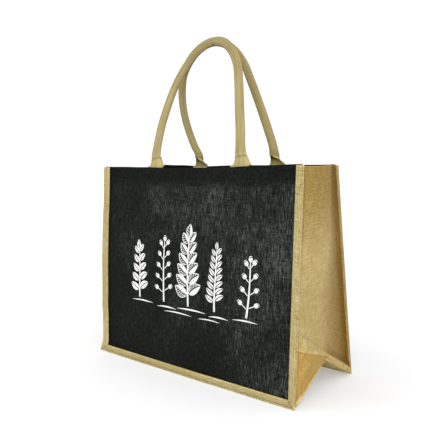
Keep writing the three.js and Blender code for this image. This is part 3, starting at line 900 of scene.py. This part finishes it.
def sidePoint(look, side, row, column):
    kind, value = row
    rimRun = bag["height"]
    layer = 0.0
    raised = 0.0
    if kind == "fold":
        angle = math.radians(value)
        radius = look["hemLayer"] / 2
        layer = radius + radius * math.sin(angle)
        raised = radius * math.cos(angle)
        fromRim = radius
    elif kind == "hem":
        layer = look["hemLayer"]
        fromRim = value
    elif kind == "rim":
        fromRim = value

    def heightAt(step, rimHeight):
        if kind == "level":
            return sideHeight(look, step, value, rimHeight - bag["rimHem"] - 1)
        return rimHeight - fromRim + raised

    step = stepAcross(column)
    if column[0] != "between":
        rimHeight = faces[column[0]][0](side, rimRun).z
        run = rimRun * heightAt(step, rimHeight) / rimHeight
        return edgePoint(column, side, run, True)
    rimFront = frontFace(side, rimRun).z
    rimBack = backFace(side, rimRun).z
    front = frontFace(side, rimRun * heightAt(0, rimFront) / rimFront)
    back = backFace(side, rimRun * heightAt(1, rimBack) / rimBack)
    height = heightAt(step, mix(rimFront, rimBack, step) - rimSag(look, side, step))
    edge, low, high = foldHeights(look, step)
    rising = clamp01((height - edge) / (low - edge))
    falling = clamp01((high - height) / (high - low))
    fold = look["foldReach"] * min(rising, falling) * ease(step / look["edgeRise"])
    fold *= mix(1, look["foldFade"], easeBetween(step, *look["foldFadeRange"]))
    fill = ease((height - high) / look["sideFillHeight"])
    bulge = look["sideFullness"] * math.sin(math.pi * step) + look["sideWave"] * math.sin(2 * math.pi * step)
    bulge -= look["backDip"] * math.exp(-((step - look["backDipAt"]) / look["backDipSize"]) ** 2)
    place = Vector((step * 2.6, height / look["rippleLength"], 5.5 + 3 * side))
    uneven = look["ripple"] * noise.noise(place)
    uneven *= ease(min(step, 1 - step) / look["edgeRise"]) * ease((height - high) / look["rippleRise"])
    welt = weltStep(look, step, height - edge)
    foot = look["footWidth"] * cornerShare(height - edge)
    x = mix(front.x, back.x, step) + side * (fold + bulge * fill - welt + uneven - layer)
    y = mix(front.y + foot, back.y - foot, step)
    lifted = welt * (1 - ease((height - edge) / look["pointRise"]))
    return Vector((x, y, height + lifted)), fromMiddle(column, 0, 0)


# Lengths from the two folds of the side cloth; on the edges that lie on the panels, 500 mm more than the
# length from their free side
def fromCreases(look, column, place):
    if column[1] == "edge":
        length = 500 + lapEdge[column[2]][0]
        return length, length
    if column[1] == "lap":
        return 510, 510
    low, high = foldHeights(look, stepAcross(column))[1:]
    return place.z - low, place.z - high


def makeStrip(name, look, material):
    def shape(row, column):
        side, kind, value = row
        if side == 0:
            place, flatAcross = basePoint(look, value, column)
            flatAlong = value * halfBag
        else:
            place, flatAcross = sidePoint(look, side, (kind, value), column)
            step = stepAcross(column)
            start = foldHeights(look, step)[0]
            if column[1] in ("edge", "lap"):
                start = edgePoint(column, side, 0, True)[0].z
            rim = mix(frontFace(side, bag["height"]).z, backFace(side, bag["height"]).z, step)
            flatAlong = halfBag + bag["height"] * max(0, place.z - start) / (rim - start)
            if kind == "fold":
                flatAlong = bag["height"] + halfBag + 1 + value / 60
            elif kind == "hem":
                flatAlong = bag["height"] + halfBag + 2 + value
            flatAlong *= side
        creases = fromCreases(look, column, place)
        place.z += bag["cloth"] / 2
        return place, (flatAcross, flatAlong), creases

    def keep(row, column):
        turnedIn = row[1] in ("fold", "hem")
        return not (turnedIn and column[0] != "between")

    form = clothGrid(stripRows(look), stripColumns(look), shape, keep, ("cloth", "creases"))
    return thicken(makeObject(name, form, material), bag["cloth"] * mm)


# Handles: webbing that is flat behind the rim, curls through a neck and closes into a tube
handleLook = {
    "webWidth": 34,
    "webThick": 2.2,
    "gap": 0.6,
    "endDrop": 38,
    "flareLength": 16,      # from the rim to the crease where the flat end begins to spread
    "neckLength": 21,       # from the rim to where the webbing has closed
    "settleRise": 60,
    "legWidth": 17,
    "legThick": 9.5,
    "pressedWidth": 3.5,    # how much wider and thinner the tube is at its pressed ends
    "pressedThick": 3,
    "crownWidth": 14.5,
    "crownThick": 9,
    "crownPower": 4,        # higher for a shorter crown
    "seated": 0.4,          # how far the tube lies to the bag's middle, of half its extra thickness
    "step": 4,              # between sections along the closed part
    "neckStep": 1.2,        # and at the necks, from so far below the rim to so far past the neck
    "neckFrom": 4,
    "neckPast": 6,
    "around": 30,
    "tilted": (-10, 30),    # above the rim: from upright to the handle's lean
    "turned": (6, 20),      # and from level to square with its own line
    "pressed": (2, 22),     # above the crease: from pressed to full
    "flattened": (0, 6),
    "seamTurn": 0.5,        # turns the seam off the middle of the inner side, in radians
    "flatCurl": 0.03,       # half the angle that the section takes, flat and closed
    "closedCurl": 0.985 * math.pi,
    "endFlatten": 0.36,
    "panelHem": 1.6,
}

# Centre line of each handle on its leaning plane: (place across the bag, height above the rim)
handleRoutes = {
    "front": {
        "lean": 14.5,
        "line": [(-78, 0), (-82, 20), (-81.5, 45), (-79, 73), (-73.5, 100), (-66, 127), (-56, 151.5),
                 (-41.5, 174.5), (-24, 193), (1, 206.5), (27.5, 204.5), (51, 187.5), (67, 162),
                 (74.5, 135.5), (80.5, 108.5), (86, 82), (92, 55), (97, 28), (102, 0)],
    },
    "back": {
        "lean": 24,
        "line": [(-123, 0), (-115, 25), (-119, 45), (-121, 75), (-119.5, 105), (-114.5, 130),
                 (-105, 156), (-88, 184), (-53, 212), (-18, 225.5), (8, 224.5), (31, 210.5),
                 (45.5, 185), (50, 159), (55.5, 115), (59.5, 70), (61, 32), (55.5, 0)],
    },
}


def handlePoints(side, look):
    face, inward = faces[side]
    route = handleRoutes[side]
    lean = math.radians(route["lean"])
    rim = bag["height"]
    inset = panelInset + bag["cloth"] / 2 + look["panelHem"] + look["gap"] + look["webThick"] / 2

    def behindPanel(x, rise):
        point = face((x - face(0, rim).x) / halfBag, rim + rise)
        point.y += inward * inset
        return point

    foot = face(1, rim)
    foot.y += inward * inset
    points = []
    for x, rise in route["line"]:
        start = behindPanel(x, 0)
        settled = ease(rise / look["settleRise"])
        y = mix(start.y, foot.y, settled) + inward * rise * math.sin(lean)
        z = mix(start.z, foot.z, settled) + rise * math.cos(lean)
        points.append(Vector((x, y, z)))
    first = [behindPanel(route["line"][0][0], -look["endDrop"] * share) for share in (1, 0.5, 0.08)]
    last = [behindPanel(route["line"][-1][0], -look["endDrop"] * share) for share in (0.08, 0.5, 1)]
    return first + points + last


# A smooth line through points, sampled at the places that placesFor gives for its length
def smoothLine(points, placesFor):
    fine = []
    padded = [2 * points[0] - points[1]] + points + [2 * points[-1] - points[-2]]
    for k in range(1, len(padded) - 2):
        a, b, c, d = padded[k - 1:k + 3]
        t0, t1 = 0, (b - a).length ** 0.5
        t2 = t1 + (c - b).length ** 0.5
        t3 = t2 + (d - c).length ** 0.5
        for part in range(16):
            t = mix(t1, t2, part / 16)
            ab = a.lerp(b, (t - t0) / (t1 - t0))
            bc = b.lerp(c, (t - t1) / (t2 - t1))
            cd = c.lerp(d, (t - t2) / (t3 - t2))
            abc = ab.lerp(bc, (t - t0) / (t2 - t0))
            bcd = bc.lerp(cd, (t - t1) / (t3 - t1))
            fine.append(abc.lerp(bcd, (t - t1) / (t2 - t1)))
    fine.append(points[-1])
    lengths = [0]
    for a, b in zip(fine, fine[1:]):
        lengths.append(lengths[-1] + (b - a).length)
    line = []
    places = placesFor(lengths[-1])
    k = 0
    for wanted in places:
        while k < len(fine) - 2 and lengths[k + 1] < wanted:
            k += 1
        line.append(fine[k].lerp(fine[k + 1], (wanted - lengths[k]) / (lengths[k + 1] - lengths[k])))
    return line, places


# From 0 to 1: a straight flare up to the crease, and above it a tube
def closedAt(look, aboveRim):
    flare = 0.5 * clamp01((aboveRim - 1) / (look["flareLength"] - 1))
    return flare + 0.5 * easeBetween(aboveRim, look["flareLength"], look["neckLength"])


# For each step along a handle: its centre, its directions and how far it has closed
def handleFrames(side, look):
    inward = faces[side][1]
    lean = math.radians(handleRoutes[side]["lean"])

    def placesFor(total):
        neckEnd = look["endDrop"] + look["neckLength"] + look["neckPast"]
        low = look["endDrop"] - look["neckFrom"]
        neck = steps(0, low, 6) + steps(low, neckEnd, round((neckEnd - low) / look["neckStep"]))
        middle = steps(neckEnd, total - neckEnd, round((total - 2 * neckEnd) / look["step"]))
        return neck + middle + [total - neckEnd] + [total - place for place in reversed(neck)]

    line, places = smoothLine(handlePoints(side, look), placesFor)
    total = places[-1]
    frames = []
    for k, (centre, place) in enumerate(zip(line, places)):
        aboveRim = min(place, total - place) - look["endDrop"]
        aboveCrease = aboveRim - look["flareLength"]
        closed = closedAt(look, aboveRim)
        along = (line[min(k + 1, len(line) - 1)] - line[max(k - 1, 0)]).normalized()
        tilt = lean * easeBetween(aboveRim, *look["tilted"])
        facing = Vector((0, inward * math.cos(tilt), -math.sin(tilt)))
        across = along.cross(facing).normalized()
        level = Vector((math.copysign(1, across.x), 0, 0))
        across = across.lerp(level, 1 - easeBetween(aboveRim, *look["turned"])).normalized()
        towards = across.cross(along).normalized()
        crown = math.sin(math.pi * place / total) ** look["crownPower"]
        pressed = 1 - easeBetween(aboveCrease, *look["pressed"])
        seated = look["seated"] * closed * (look["legThick"] - look["webThick"]) / 2
        frames.append({
            "centre": centre + towards * seated,
            "across": across,
            "towards": towards,
            "closed": closed,
            "turn": math.copysign(look["seamTurn"], across.x) * clamp01(closed * 2),
            "place": place,
            "width": mix(look["legWidth"], look["crownWidth"], crown) + look["pressedWidth"] * pressed,
            "thick": mix(look["legThick"], look["crownThick"], crown) - look["pressedThick"] * pressed,
            "flat": 1 - easeBetween(aboveCrease, *look["flattened"]),
            "aboveCrease": aboveCrease,
        })
    return frames, total


# Place on the middle of the webbing, with share from -1 to 1 across it
def onWeb(section, look, share, outward=0.0):
    curl = mix(look["flatCurl"], look["closedCurl"], section["closed"])
    tube = curl * (section["width"] - look["webThick"]) / 2
    halfLength = mix(look["webWidth"] / 2, tube, section["closed"])
    radius = halfLength / curl
    squeeze = (section["thick"] - look["webThick"]) / (section["width"] - look["webThick"])
    flatten = mix(mix(1, squeeze, section["closed"]), look["endFlatten"], section["flat"])
    middle = radius * math.sin(curl) / curl
    angle = share * curl + section["turn"]
    a = (radius + outward) * math.sin(angle)
    b = (middle - (radius + outward) * math.cos(angle)) * flatten
    return section["centre"] + section["across"] * a + section["towards"] * b


def makeHandle(name, side, look, material, insideMaterial):
    frames, total = handleFrames(side, look)

    def shape(row, share):
        section = frames[row]
        across = share * look["webWidth"] / 2
        return onWeb(section, look, share), (across, section["place"]), (section["aboveCrease"], across)

    columns = steps(-1, 1, look["around"]) + [1]
    rows = list(range(len(frames)))
    piece = makeObject(name, clothGrid(rows, columns, shape, None, ("cloth", "creases")), insideMaterial)
    piece.data.materials.append(material)
    modifier = thicken(piece, look["webThick"] * mm).modifiers["thickness"]
    modifier.material_offset = 1
    modifier.material_offset_rim = 1
    return piece, frames, total


# Sewing: each stitch is a short bead of thread that lies along its row
stitchLook = {
    "length": 4.2,
    "pitch": 5.6,
    "thread": 0.42,
    "flatness": 0.8,
    "above": 0.05,          # over the cloth's face
    "fromLapEdge": 2.8,
    "onLap": 2.45,          # from the middle of the panel to the lap's face
    "rimEnds": 14,          # from the panel's corners
    "fromHemEdge": 3,
    "sideRim": 22,          # under a side's rim
    "sideLength": 165,
    "sideSize": 0.7,
    "seamShare": 0.82,      # place of the handle's seam across the webbing
    "seamPast": 2,          # it starts so far past the neck
    "seamPitch": 4.2,
    "seamSize": 0.8,
}


def stitchRow(form, path, length, outward, look, pitch=None, size=1.0):
    pitch = pitch or look["pitch"]
    count = max(1, round(length / pitch))
    for k in range(count):
        at = (k + 0.5) * length / count
        here = path(at)
        ahead = (path(min(length, at + 1)) - path(max(0, at - 1))).normalized()
        up = outward(at) if callable(outward) else outward
        beside = ahead.cross(up).normalized()
        up = beside.cross(ahead).normalized()
        turn = Matrix((ahead, beside, up)).transposed().to_4x4()
        thread = look["thread"] * size
        sizes = (look["length"] / 2 * size * mm, thread * mm, look["flatness"] * thread * mm, 1)
        matrix = Matrix.Translation(toModel(here)) @ turn @ Matrix.Diagonal(sizes)
        bmesh.ops.create_uvsphere(form, u_segments=6, v_segments=5, radius=1, matrix=matrix)


# Each row is made by itself, because adding to a large mesh is slow
def makeSewing(name, rows, material):
    form = bmesh.new()
    for row in rows:
        rowForm = bmesh.new()
        stitchRow(rowForm, *row)
        rowMesh = bpy.data.meshes.new("row")
        rowForm.to_mesh(rowMesh)
        rowForm.free()
        form.from_mesh(rowMesh)
        bpy.data.meshes.remove(rowMesh)
    return makeObject(name, form, material)


def lapRows(look):
    rows = []
    inset = look["fromLapEdge"]
    for face, inward in faces.values():
        outward = Vector((0, -inward, 0))

        def onLap(place, inward=inward):
            place.y -= inward * look["onLap"]
            place.z += bag["cloth"] / 2
            return place

        for across in (-1, 1):
            beside = lapWidth(across, True)
            below = lapWidth(across, False)

            def upSide(at, face=face, onLap=onLap, across=across, beside=beside, below=below):
                return onLap(face(across * (1 - (beside - inset) / halfBag), below - inset + at))

            rows.append((upSide, bag["height"] - below + 1, outward, look))

        def alongBase(at, face=face, onLap=onLap):
            across = (-halfBag + bag["lapLeft"] - inset + at) / halfBag
            return onLap(face(across, lapWidth(across, False) - inset))

        rows.append((alongBase, bag["width"] - bag["lapLeft"] - bag["lapRight"] + 2 * inset, outward, look))
    return rows


def rimRows(look):
    rows = []
    for face, inward in faces.values():
        for depth, way in ((bag["cloth"] / 2, -1), (bag["cloth"] / 2 + panelLook["hemLayer"], 1)):
            def along(at, face=face, inward=inward, depth=depth, way=way):
                across = (-halfBag + look["rimEnds"] + at) / halfBag
                place = face(across, bag["height"] - bag["rimHem"] + look["fromHemEdge"])
                place.y += inward * (panelInset + way * depth)
                return place

            rows.append((along, bag["width"] - 2 * look["rimEnds"], Vector((0, inward * way, 0)), look))
    return rows


def sideHemRows(look):
    rows = []
    for side in (-1, 1):
        for kind, way in (("rim", 1), ("hem", -1)):
            def along(at, side=side, kind=kind, way=way):
                step = mix(0.03, 0.97, at / look["sideLength"])
                column = ("between", "width", step)
                place = sidePoint(stripLook, side, (kind, look["sideRim"]), column)[0]
                place.x += side * way * (bag["cloth"] / 2 + look["above"])
                place.z += bag["cloth"] / 2
                return place

            outward = Vector((side * way, 0, 0))
            rows.append((along, look["sideLength"], outward, look, None, look["sideSize"]))
    return rows


# A sewn rectangle with a cross, on each flat handle end and showing through on the panel's outside
boxLook = {
    "halfWidth": 13,
    "top": 4,
    "bottom": 34,
    "pitch": 3.4,
    "size": 0.75,
}


def endBoxRows(look, onOutside):
    rows = []
    rim = bag["height"]
    tall = boxLook["bottom"] - boxLook["top"]
    if onOutside:
        depth = panelInset - bag["cloth"] / 2 - look["above"]
    else:
        depth = panelInset + bag["cloth"] / 2 + handleLook["panelHem"] + handleLook["gap"]
        depth += handleLook["webThick"] + look["above"]
    corners = [(-1, 0), (1, 0), (1, 1), (-1, 1)]
    lines = [(corners[k], corners[(k + 1) % 4]) for k in range(4)]
    lines += [(corners[0], corners[2]), (corners[1], corners[3])]
    for side, (face, inward) in faces.items():
        outward = Vector((0, -inward if onOutside else inward, 0))
        for x in (handleRoutes[side]["line"][0][0], handleRoutes[side]["line"][-1][0]):
            for (a0, b0), (a1, b1) in lines:
                length = math.hypot((a1 - a0) * boxLook["halfWidth"], (b1 - b0) * tall)

                def along(at, a0=a0, b0=b0, a1=a1, b1=b1, x=x, face=face, inward=inward, length=length):
                    a = mix(a0, a1, at / length) * boxLook["halfWidth"]
                    drop = boxLook["top"] + mix(b0, b1, at / length) * tall
                    place = face((x + a - face(0, rim).x) / halfBag, rim - drop)
                    place.y += inward * depth
                    return place

                rows.append((along, length, outward, look, boxLook["pitch"], boxLook["size"]))
    return rows


# The two edges of the webbing are sewn to each other along the closed part
def seamRows(frames, total, look):
    start = handleLook["endDrop"] + handleLook["neckLength"] + look["seamPast"]

    def beside(at):
        low = max(k for k in range(len(frames) - 1) if frames[k]["place"] <= start + at)
        return frames[low], frames[low + 1]

    def along(at):
        near, far = beside(at)
        a = onWeb(near, handleLook, look["seamShare"], handleLook["webThick"] / 2)
        b = onWeb(far, handleLook, look["seamShare"], handleLook["webThick"] / 2)
        return a.lerp(b, (start + at - near["place"]) / (far["place"] - near["place"]))

    def outward(at):
        return beside(at)[0]["towards"]

    return [(along, total - 2 * start, outward, look, look["seamPitch"], look["seamSize"])]


# A printed row of garden sprigs, as a film of ink on the front panel
printLook = {
    "centreX": 12,
    "groundHeight": 116,
    "film": 0.12,
    "lift": 0.16,           # from the cloth's face to the middle of the film
    "sprigs": [
        {"x": -114, "height": 84, "lean": -0.12, "pairs": 5, "leaf": 23, "fat": 0.27, "kind": "leaf"},
        {"x": -60, "height": 98, "lean": 0.05, "pairs": 5, "leaf": 17, "fat": 0.27, "kind": "berry"},
        {"x": -3, "height": 112, "lean": 0.02, "pairs": 6, "leaf": 31, "fat": 0.30, "kind": "hatched"},
        {"x": 55, "height": 96, "lean": -0.04, "pairs": 8, "leaf": 19, "fat": 0.21, "kind": "leaf"},
        {"x": 108, "height": 80, "lean": 0.12, "pairs": 4, "leaf": 16, "fat": 0.27, "kind": "berry"},
    ],
    "stem": 1.8,
    "vein": 1.1,
    "berry": 4.6,
    "hatchPitch": 3.6,
    "hatchWidth": 0.75,     # half widths of strokes
    "rimWidth": 0.65,
    "twigWidth": 0.7,
    "ground": [(-136, -84, 6, 1.0), (-74, -30, 9, 1.1), (-28, 34, 6, 1.2), (40, 78, 9, 1.1),
               (86, 132, 6, 1.0), (-58, 4, 15, 0.9), (18, 62, 16, 0.8)],    # from, to, drop, half width
}
flatSpots = {}      # the place on the flat cloth of each printed corner


def onPrint(x, height):
    across = (printLook["centreX"] + x) / halfBag
    place = frontFace(across, height)
    place.y += panelInset - bag["cloth"] / 2 - printLook["lift"]
    return place


# A flat band that follows centre(share) with the half width halfWidth(share)
def addStroke(form, centre, halfWidth, count):
    made = bmesh.ops.create_grid(form, x_segments=count, y_segments=1, size=1)["verts"]
    for vertex in made:
        share = (vertex.co.x + 1) / 2
        here = centre(share)
        ahead = centre(min(1, share + 0.01)) - centre(max(0, share - 0.01))
        beside = Vector((-ahead.y, ahead.x)).normalized()
        spot = here + beside * halfWidth(share) * vertex.co.y
        vertex.co = toModel(onPrint(spot.x, spot.y))
        flatSpots[vertex] = (printLook["centreX"] + spot.x, spot.y)


def addLeaf(form, root, heading, length, fat, hatched):
    ahead = Vector((math.cos(heading), math.sin(heading)))
    beside = Vector((-ahead.y, ahead.x))

    def outline(share):
        return fat * length * math.sin(math.pi * clamp01(share) ** 0.8) ** 0.85

    def spine(share):
        return root + ahead * length * share + beside * 0.06 * length * math.sin(math.pi * share)

    def hatchWidth(share):
        return printLook["hatchWidth"] * (1 - 0.5 * share)

    for way in (-1, 1):
        def middle(share, way=way):
            return spine(share) + beside * way * (printLook["vein"] / 2 + outline(share) / 2)

        def rimLine(share, way=way):
            return spine(share) + beside * way * outline(share)

        if not hatched or way < 0:
            addStroke(form, middle, lambda s: max(0.05, outline(s) / 2 - 0.1), 12)
            continue
        count = int(length / printLook["hatchPitch"])
        for k in range(1, count):
            share = k / count
            reach = outline(share + 0.06)
            if reach < 1.5:
                continue
            start = spine(share) + beside * way * printLook["vein"]
            end = spine(min(1, share + 0.13)) + beside * way * reach
            addStroke(form, lambda s, a=start, b=end: a.lerp(b, s), hatchWidth, 3)
        addStroke(form, rimLine, lambda s: printLook["rimWidth"], 12)


def addBerry(form, root, heading, length):
    ahead = Vector((math.cos(heading), math.sin(heading)))
    radius = printLook["berry"]
    centre = root + ahead * length
    addStroke(form, lambda s: root.lerp(centre - ahead * radius, s), lambda s: printLook["twigWidth"], 4)
    for radiusShare, shift, low, high in ((0.80, -0.12, -1, 0.55), (1.0, 0, 0.72, 1)):
        inner = radius * radiusShare

        def middle(share, low=low, high=high, shift=shift):
            return centre + ahead * (radius * mix(low, high, share) + shift * radius)

        def reach(share, low=low, high=high, inner=inner):
            return max(0.05, inner * math.sqrt(max(0, 1 - mix(low, high, share) ** 2)))

        addStroke(form, middle, reach, 8)


def addSprig(form, sprig):
    ground = printLook["groundHeight"]

    def stem(share):
        x = sprig["x"] + sprig["lean"] * sprig["height"] * share + 4 * math.sin(2.2 * share + sprig["x"])
        return Vector((x, ground + sprig["height"] * share))

    addStroke(form, stem, lambda s: printLook["stem"] * (1 - 0.5 * s), 24)
    for k in range(sprig["pairs"]):
        share = mix(0.18, 0.92, k / (sprig["pairs"] - 1))
        ahead = stem(share + 0.01) - stem(share - 0.01)
        heading = math.atan2(ahead.y, ahead.x)
        length = sprig["leaf"] * mix(1, 0.62, share)
        for way in (-1, 1):
            angle = heading + way * mix(1.15, 0.6, share)
            start = stem(share - (0.03 if way > 0 else 0)) + Vector((math.cos(angle), math.sin(angle))) * 2.6
            if sprig["kind"] == "berry":
                addBerry(form, start, angle, length)
            else:
                addLeaf(form, start, angle, length, sprig["fat"], sprig["kind"] == "hatched")
    ahead = stem(1) - stem(0.98)
    heading = math.atan2(ahead.y, ahead.x)
    if sprig["kind"] == "berry":
        addBerry(form, stem(1), heading, sprig["leaf"] * 0.5)
    else:
        root = stem(1) + ahead * 0.3
        addLeaf(form, root, heading, sprig["leaf"] * 0.66, sprig["fat"], sprig["kind"] == "hatched")


def makePrint(name, look, material):
    form = bmesh.new()
    flatMap = form.loops.layers.uv.new("cloth")
    flatSpots.clear()
    for sprig in look["sprigs"]:
        addSprig(form, sprig)
    ground = look["groundHeight"]
    for start, end, drop, width in look["ground"]:
        def line(share, start=start, end=end, drop=drop):
            return Vector((mix(start, end, share), ground - drop + 1.5 * math.sin(3 * share)))

        addStroke(form, line, lambda s, w=width: w * math.sin(math.pi * clamp01(s)) + 0.15, 16)
    for face in form.faces:
        for loop in face.loops:
            loop[flatMap].uv = [value * mm / mapMetres for value in flatSpots[loop.vert]]
    bmesh.ops.recalc_face_normals(form, faces=form.faces)
    if sum(face.normal.y for face in form.faces) >= 0:      # the ink faces forwards
        bmesh.ops.reverse_faces(form, faces=form.faces)
    piece = makeObject(name, form, material)
    modifier = piece.modifiers.new("film", "SOLIDIFY")
    modifier.thickness = look["film"] * mm
    modifier.offset = 0
    return piece


makeCamera(cameraPlace)
print("camera placed")

dyedJute = juteMaterial("dyed_jute", clothLooks["dyedJute"])
naturalJute = juteMaterial("natural_jute", clothLooks["naturalJute"], foldLook)
webbing = webMaterial("cotton_web", webLook)
# A copy of the webbing for its inner side, with painted shade in the hollow
webbingInsideShaded = webMaterial("cotton_web_inside_shaded", webLook, inside=True)
naturalThread = threadMaterial("natural_thread", threadLook["natural"], threadLook)
darkThread = threadMaterial("dark_thread", threadLook["dark"], threadLook)
ink = inkMaterial("white_ink", inkLook)
print("materials made")

frontPanel = makePanel("front_cloth", "front", panelLook, dyedJute)
backPanel = makePanel("back_cloth", "back", panelLook, dyedJute)
print("panels made")

strip = makeStrip("side_cloth", stripLook, naturalJute)
print("side and base strip made")

webbings = (webbing, webbingInsideShaded)
frontHandle, frontFrames, frontLength = makeHandle("front_webbing", "front", handleLook, *webbings)
backHandle, backFrames, backLength = makeHandle("back_webbing", "back", handleLook, *webbings)
print("handles made", round(frontLength), round(backLength))

lapSewing = makeSewing("lap_sewing", lapRows(stitchLook), naturalThread)
sideHemSewing = makeSewing("side_hem_sewing", sideHemRows(stitchLook), naturalThread)
rimSewing = makeSewing("rim_sewing", rimRows(stitchLook), darkThread)
outsideBoxes = makeSewing("box_sewing_outside", endBoxRows(stitchLook, True), darkThread)
insideBoxes = makeSewing("box_sewing_inside", endBoxRows(stitchLook, False), naturalThread)
handleRows = seamRows(frontFrames, frontLength, stitchLook) + seamRows(backFrames, backLength, stitchLook)
handleSewing = makeSewing("handle_sewing", handleRows, naturalThread)
print("sewing made")

sprigPrint = makePrint("sprig_print", printLook, ink)
print("print made")

slots = {
    "dyed_jute": [frontPanel, backPanel, rimSewing, outsideBoxes, sprigPrint],
    "natural_jute": [strip, lapSewing, sideHemSewing],
    "cotton_web": [frontHandle, backHandle, insideBoxes, handleSewing],
}
for slotName, members in slots.items():
    for piece in members:
        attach(piece, "root")

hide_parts("front_panel")
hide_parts("back_panel")
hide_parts("side_strip")
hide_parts("handle_front")
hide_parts("handle_back")

# Studio: a pale floor on a light table, a white surround that is brighter in front of the bag, and three
# large soft lamps, from the upper left, the upper right and beside the camera
studio = {
    "floorSize": 60,
    "floorTint": (0.54, 0.54, 0.55, 1),
    "floorGlow": 0.30,
    "floorRough": 0.9,
    "floorGloss": 0.1,
    "floorGrain": 60,
    "behind": 1.0,
    "inFront": 1.15,
    "brightSide": (-0.45, -0.89, 0),
    "lamps": [((-0.52, -0.40, 0.76), 0.7), ((0.55, 0.10, 0.83), 0.5), ((0.60, -0.72, 0.34), 1.6)],
    "lampSpread": 50,       # degrees; the lamps are given by where they shine from, and their power
}


def makeStudio(settings):
    form = bmesh.new()
    bmesh.ops.create_grid(form, x_segments=8, y_segments=8, size=settings["floorSize"] / 2)
    bench = NodeBench("floor_paper")
    place = bench.tree.nodes.new("ShaderNodeTexCoord").outputs["Object"]
    bench.bump(bench.noise(place, settings["floorGrain"], 2), 0.0002)
    bench.surface(settings["floorTint"], settings["floorRough"], settings["floorGloss"])
    bench.shader.inputs["Emission Color"].default_value = (1, 1, 1, 1)
    bench.shader.inputs["Emission Strength"].default_value = settings["floorGlow"]
    floor = makeObject("floor", form, bench.material)
    world = bpy.data.worlds.new("surround")
    world.use_nodes = True
    nodes = world.node_tree.nodes
    links = world.node_tree.links
    direction = nodes.new("ShaderNodeTexCoord").outputs["Generated"]
    towards = nodes.new("ShaderNodeVectorMath")
    towards.operation = "DOT_PRODUCT"
    towards.inputs[1].default_value = settings["brightSide"]
    links.new(direction, towards.inputs[0])
    ramp = nodes.new("ShaderNodeMapRange")
    links.new(towards.outputs["Value"], ramp.inputs[0])
    for socket, value in zip(ramp.inputs[1:], (-1.0, 1.0, settings["behind"], settings["inFront"])):
        socket.default_value = value
    background = nodes["Background"]
    background.inputs["Color"].default_value = (1, 1, 1, 1)
    links.new(ramp.outputs[0], background.inputs["Strength"])
    bpy.context.scene.world = world
    for lampFrom, power in settings["lamps"]:
        data = bpy.data.lights.new("lamp", "SUN")
        data.energy = power
        data.angle = math.radians(settings["lampSpread"])
        lamp = bpy.data.objects.new("lamp", data)
        bpy.context.scene.collection.objects.link(lamp)
        lamp.location = Vector(lampFrom) * 3
        lamp.rotation_mode = "QUATERNION"
        lamp.rotation_quaternion = Vector(lampFrom).to_track_quat("Z", "Y")
    bpy.context.scene.view_settings.view_transform = "Standard"


makeStudio(studio)
print("studio made")
